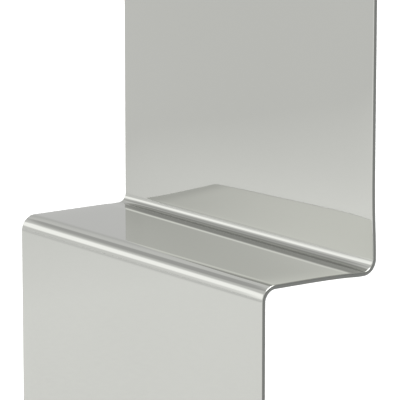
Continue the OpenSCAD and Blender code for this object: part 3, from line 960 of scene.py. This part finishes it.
def make_handrails():
    """The hoops with their guards, clamps, tees and collars, and the bar over the chute's entry."""
    rise = HOOP_Z1 - HOOP_Z0 - HOOP_BEND
    path = [(rise, HOOP_BEND, -90), (HOOP_REAR - HOOP_FRONT - 2 * HOOP_BEND, HOOP_BEND, -90), (rise, 0, 0)]
    for name, side in SIDES:
        shape = Shape()
        tube(shape, rail_spaces(path, (HOOP_FRONT, HOOP_Z0, 90), side * RAIL_X, 2.5), RAIL_R, RAIL_WALL)
        make("hoop_tube_" + name, shape, "polished_steel", "hoop_" + name)
        make_guard(name, side)
        for end, y in (("front", HOOP_FRONT), ("rear", HOOP_REAR)):
            make_clamp("clamp_" + end + "_" + name, side, y, "post_clamp_" + end + "_" + name)
        make_tee(name, side)
        make_collar(name, side)
    shape = Shape()
    ends = [(x, HOOP_REAR, ENTRY_Z) for x in (-rail_hi.x, rail_hi.x)]
    tube(shape, line_spaces(*ends), RAIL_R, RAIL_WALL)
    make("entry_tube", shape, "polished_steel", "entry_bar")


def make_guard(name, side):
    """A plate with upright slots, stitch-welded into its hoop."""
    shape = Shape()
    low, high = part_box("guard_" + name)
    width, height = high.y - low.y, high.z - low.z
    pitch = width / SLOT_COUNT
    slots = []
    for i in range(SLOT_COUNT):
        middle = (i - (SLOT_COUNT - 1) / 2) * pitch
        slots.append(slot_loop(middle, SLOT_MARGIN, height - SLOT_MARGIN, SLOT_W / 2))
    space = side_space(side * RAIL_X, (low.y + high.y) / 2, low.z)
    plate(shape, space, rectangle(-width / 2, 0, width / 2, height, 0.004), slots, GUARD_T, HEAVY_EDGE)
    stitch, margin, count = 0.04, 0.03, 5
    for y in (low.y, high.y):
        for k in range(count):
            z = low.z + margin + (height - 2 * margin - stitch) * k / (count - 1)
            for face in (-1, 1):
                x = side * RAIL_X + face * GUARD_T / 2
                bead(shape, [(x, y, z), (x, y, z + stitch)], 0.0018)
    make("guard_plate_" + name, shape, "polished_steel", "guard_" + name)


def slot_loop(middle, low, high, half):
    """An upright slot with round ends."""
    made = []
    for level, start in ((high, 0), (low, 180)):
        for t in [math.radians(start + k) for k in range(0, 181, 6)]:
            made.append((middle + half * math.cos(t), level + half * math.sin(t), math.cos(t), math.sin(t)))
    return made


def make_clamp(name, side, y, node):
    """A sleeve round a hoop's foot, welded to a pad that bolts to the bearer."""
    shape = Shape()
    x, z = side * RAIL_X, HOOP_Z0
    tube(shape, line_spaces((x, y, z), (x, y, z + CLAMP_H)), RAIL_R + CLAMP_WALL, CLAMP_WALL, 56)
    face = side * (RAIL_X - RAIL_R - CLAMP_PAD / 2)
    space = side_space(face, y, z + CLAMP_H / 2)
    plate(shape, space, block(CLAMP_PAD_L, CLAMP_H, 0.005), [], CLAMP_PAD, HEAVY_EDGE)
    reach = math.sqrt((RAIL_R + CLAMP_WALL) ** 2 - RAIL_R ** 2)
    for way in (-1, 1):
        seam = (side * (RAIL_X - RAIL_R), y + way * reach)
        bead(shape, [(*seam, z + 0.002), (*seam, z + CLAMP_H - 0.002)])
    make(name, shape, "satin_steel", node)


def make_tee(name, side):
    """A tee that joins the entry bar to a hoop, with a weld round its branch."""
    shape = Shape()
    x, outer = side * RAIL_X, RAIL_R + SOCKET_WALL
    tube(shape, line_spaces((x, HOOP_REAR, ENTRY_Z - TEE_H / 2), (x, HOOP_REAR, ENTRY_Z + TEE_H / 2)),
         outer, SOCKET_WALL)
    tube(shape, line_spaces((x, HOOP_REAR, ENTRY_Z), (x - side * TEE_REACH, HOOP_REAR, ENTRY_Z)),
         outer, SOCKET_WALL)
    seam = [(x - side * math.sqrt(max(outer ** 2 - a ** 2, 0)), HOOP_REAR + a, ENTRY_Z + b)
            for a, b, na, nb in circle(outer * 0.999, 60)]
    bead(shape, seam, 0.0016, closed=True)
    make("entry_tee_" + name, shape, "polished_steel", "entry_socket_" + name)


def make_collar(name, side):
    """A sleeve on the rear post, with a spigot that carries the top rail."""
    shape = Shape()
    x, z, outer = side * RAIL_X, DECK_Z + RAIL_V, RAIL_R + SOCKET_WALL
    tube(shape, line_spaces((x, HOOP_REAR, z - COLLAR_H / 2), (x, HOOP_REAR, z + COLLAR_H / 2)),
         outer, SOCKET_WALL)
    sweep(shape, line_spaces((x, HOOP_REAR + RAIL_R, z), (x, CHUTE_Y, z)), circle(RAIL_R, 72), edge=0.0004)
    seam = [(x + a, HOOP_REAR + math.sqrt(outer ** 2 - a ** 2), z + b)
            for a, b, na, nb in circle(RAIL_R, 48)]
    bead(shape, seam, 0.0018, closed=True)
    make("collar_" + name, shape, "satin_steel", "rail_collar_" + name)


# --- chute ---


def make_chute():
    """The bed in three lengths, their side plates, and the rails along the tops of those."""
    section = rectangle(-BED_W / 2, -BED_T, BED_W / 2, 0, 0.0008)
    parts = (("start", START_PATH, [], START_AT), ("wave", WAVE_PATH, [], WAVE_AT),
             ("runout", RUNOUT_PATH, LIP_PATH, RUNOUT_AT))
    for part, path, lip, place in parts:
        shape = Shape()
        sweep(shape, rail_spaces(path + lip, place, 0, 1.0), section)
        for side in (-1, 1):
            corner_seam(shape, path, place, side)
        make("bed_sheet_" + part, shape, "polished_steel", "bed_" + part)
        for name, side in SIDES:
            shape = Shape()
            plate(shape, side_space(side * RAIL_X, 0, 0), cheek_loop(part, path, place), [], CHEEK_T)
            make("cheek_sheet_" + part + "_" + name, shape, "polished_steel", "cheek_" + part + "_" + name)
    bends, straight = START_PATH + WAVE_PATH + RUNOUT_PATH[:1], RUNOUT_L - RAIL_END_R
    rail = offset_path(bends, RAIL_V)
    rail += [(straight, RAIL_END_R, -90), (RAIL_V - RAIL_END_R - RAIL_END_GAP, 0, 0)]
    seam = offset_path(bends, CHEEK_TOP) + [(straight, 0, 0)]
    spots = places(seam, offset_place(START_AT, CHEEK_TOP + 0.0008), 3)
    for name, side in SIDES:
        shape = Shape()
        tube(shape, rail_spaces(rail, offset_place(START_AT, RAIL_V), side * RAIL_X), RAIL_R, RAIL_WALL)
        for face in (-1, 1):
            x = side * RAIL_X + face * CHEEK_T / 2
            bead(shape, [(x, y, z) for y, z, heading in spots], 0.0018, sides=6)
        make("rail_tube_" + name, shape, "polished_steel", "top_rail_" + name)


def corner_seam(shape, path, place, side, size=0.004, bury=0.0005):
    """The ground weld in the corner between the bed and a side plate: a small hollow fillet."""
    turns = [math.radians(15 * k) for k in range(7)]
    loop = [(size * (math.sin(t) - 1), size * (1 - math.cos(t)), -math.sin(t), math.cos(t)) for t in turns]
    loop += [(bury, size, 1, 0), (bury, -bury, 1, 0), (-size, -bury, 0, -1)]
    loop = [(side * a, b, side * na, nb) for a, b, na, nb in loop]
    rows = shape.grid([ring(space, loop) for space in rail_spaces(path, place, side * BED_W / 2, 1.0)])
    shape.face(rows[0])
    shape.face(rows[-1])


def cheek_loop(part, path, place):
    """A side plate's outline in Y and Z; the last one is rounded inside the rail's end bend."""
    low = places(offset_path(path, -BED_T), offset_place(place, -BED_T))
    high = places(offset_path(path, CHEEK_TOP), offset_place(place, CHEEK_TOP))
    if part != "runout":
        return outline([p[:2] for p in low + high[::-1]], 0.001)
    corner_r = RAIL_END_R - RAIL_R
    end = [offset_place(EXIT_AT, -BED_T, -RAIL_R)]
    for k in range(19):
        t = math.radians(5 * k)
        end.append(offset_place(EXIT_AT, RAIL_V - RAIL_END_R + corner_r * math.sin(t),
                                -RAIL_END_R + corner_r * math.cos(t)))
    return outline([p[:2] for p in low[:-1] + end + high[:-1][::-1]], 0.001)


def make_flanges():
    """The four U-shaped plates that join the chute's lengths, welded round the bed."""
    inner = RAIL_X + CHEEK_T / 2
    outer = inner + FLANGE_SIDE
    low, high = -BED_T - FLANGE_DROP, FLANGE_TOP
    corners = [(-outer, low), (outer, low), (outer, high), (inner, high), (inner, -BED_T),
               (-inner, -BED_T), (-inner, high), (-outer, high)]
    hole_r = JOINT_BOLT_D / 2 + 0.0005
    holes = [circle(hole_r, 32, (side * x, v)) for x, v in FLANGE_BOLTS for side in (-1, 1)]
    for node, place, along in (("flange_start", WAVE_AT, -1), ("flange_wave_top", WAVE_AT, 1),
                               ("flange_wave_bottom", RUNOUT_AT, -1), ("flange_runout", RUNOUT_AT, 1)):
        shape = Shape()
        space = path_space(place, 0, along * FLANGE_T / 2)
        plate(shape, space, outline(corners, 0.006), holes, FLANGE_T)
        far = along * FLANGE_T
        for side in (-1, 1):
            bead(shape, [path_space(place, v, far, side * inner).at for v in (0.002, high - 0.003)])
        bead(shape, [path_space(place, -BED_T, far, x).at for x in (0.004 - inner, inner - 0.004)])
        make("joint_" + node, shape, "satin_steel", node)


def make_posts():
    """The chute's posts: a sloping head plate, a tube cut to the same slope, and a base."""
    for name, place, along in (("upper", WAVE_AT, HEAD_GAP), ("lower", RUNOUT_AT, HEAD_GAP),
                               ("exit", EXIT_AT, -EXIT_HEAD_BACK)):
        shape = Shape()
        head = path_space(place, -BED_T - HEAD_T / 2, along + HEAD_L / 2)
        flat = Space(head.at, head.a, head.c, head.b)
        plate(shape, flat, block(HEAD_W, HEAD_L, 0.008), [], HEAD_T, HEAVY_EDGE)
        slope = math.tan(math.radians(place[2]))
        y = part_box(name + "_foot")[0].y + BASE_W / 2
        under = path_space(place, -BED_T - HEAD_T, along + HEAD_L / 2).at
        top = Vector((0, y, under.z + (y - under.y) * slope))
        foot = Space(Vector((0, y, BASE_T)), X, Y, Z)
        cut = Space(top + 0.001 * Z, X, Vector((0, 1, slope)), Z)
        tube(shape, [foot, cut], POST_R, SUPPORT_WALL)
        bead(shape, round_seam(top, POST_R, slope), 0.003, closed=True)
        make(name + "_post_tube", shape, "satin_steel", name + "_post")
        make_foot(name + "_base", 0, y, POST_R, name + "_foot")


def make_pads_and_caps():
    """The rubber pads between the bearers and the chute, and the plugs in the open tube ends."""
    shape = Shape()
    middle, length = (pads_lo + pads_hi) / 2, pads_hi.y - pads_lo.y
    for side in (-1, 1):
        space = Space(Vector((side * BEARER_X, middle.y, middle.z)), X, Y, Z)
        plate(shape, space, block(BEARER_W, length, 0.003), [], PAD_T)
    make("rubber_strips", shape, "rubber_pad", "chute_pads")
    shape = Shape()
    for side in (-1, 1):
        for y in (HOOP_FRONT, HOOP_REAR):
            cap(shape, Space(Vector((side * RAIL_X, y, HOOP_Z0)), X, -Y, -Z))
        end = path_space(EXIT_AT, RAIL_END_GAP, 0, side * RAIL_X)
        cap(shape, Space(end.at, X, end.c, -end.b))
    make("end_plugs", shape, "black_plastic", "tube_caps")


def cap(shape, space):
    """A plug in a tube's open end, slightly domed."""
    corners = [(RAIL_R, 0), (RAIL_R, 0.002), (RAIL_R - 0.002, 0.0036), (RAIL_R - 0.006, 0.004)]
    turned(shape, space, corners, 0.0008, 56)


# --- fasteners ---


def make_fasteners():
    """Stud nuts under the bearers, the joints' bolts with their nuts, and the frame's bolt heads."""
    shape = Shape()
    ys = [CROSS_FRONT[0].y + 0.075, LEG_Y - 0.13, DECK_END - 0.075, pads_lo.y + 0.02, pads_hi.y - 0.02]
    for side in (-1, 1):
        for y in ys:
            under = Space(Vector((side * BEARER_X, y, BEARER_Z)), X, -Y, -Z)
            hexagon(shape, under, 0.015, 0.007)
            thread(shape, under, STUD_D / 2, 0.007, STUD_TAIL)
    make("stud_nuts", shape, "zinc_steel", "weld_studs")
    shape = Shape()
    hex_w, head_h, nut_h, tail = [JOINT_BOLT_D * share for share in (1.9, 0.65, 0.8, 1.1)]
    for place in (WAVE_AT, RUNOUT_AT):
        for x, v in FLANGE_BOLTS:
            for side in (-1, 1):
                back = path_space(place, v, -FLANGE_T, side * x)
                hexagon(shape, Space(back.at, back.a, -back.b, -back.c), hex_w, head_h)
                front = path_space(place, v, FLANGE_T, side * x)
                hexagon(shape, front, hex_w, nut_h)
                thread(shape, front, JOINT_BOLT_D / 2, nut_h, tail)
    make("joint_hexes", shape, "zinc_steel", "joint_bolts")
    shape = Shape()
    for side in (-1, 1):
        for y in (HOOP_FRONT, HOOP_REAR):
            for v in (-CLAMP_BOLT_V, CLAMP_BOLT_V):
                at = Vector((side * (RAIL_X - RAIL_R), y + v, HOOP_Z0 + CLAMP_H / 2))
                hexagon(shape, Space(at, Y, side * Z, side * X), 0.013, 0.005)
        for v in (-LEG_BOLT_V, LEG_BOLT_V):
            at = Vector((side * BEARER_X, LEG_Y + v, BEARER_Z - LEG_PLATE[2]))
            hexagon(shape, Space(at, X, -Y, -Z), 0.011, 0.004)
        for y, z in (BRACE_LOW, BRACE_HIGH):
            at = Vector((side * (BRACE_X + BRACE_T / 2), y, z))
            hexagon(shape, Space(at, Y, side * Z, side * X), 0.019, 0.0065)
    make("frame_hexes", shape, "zinc_steel", "frame_bolts")


make_camera()
bpy.context.scene.view_settings.view_transform = "Standard"
make_world()
make_floor()
builders = (polished_steel, satin_steel, zinc_steel, rubber_pad, black_plastic)
looks = {build.__name__: build() for build in builders}
make_step_plate()
make_platform_frame()
make_legs()
make_handrails()
make_chute()
make_flanges()
make_posts()
make_pads_and_caps()
make_fasteners()
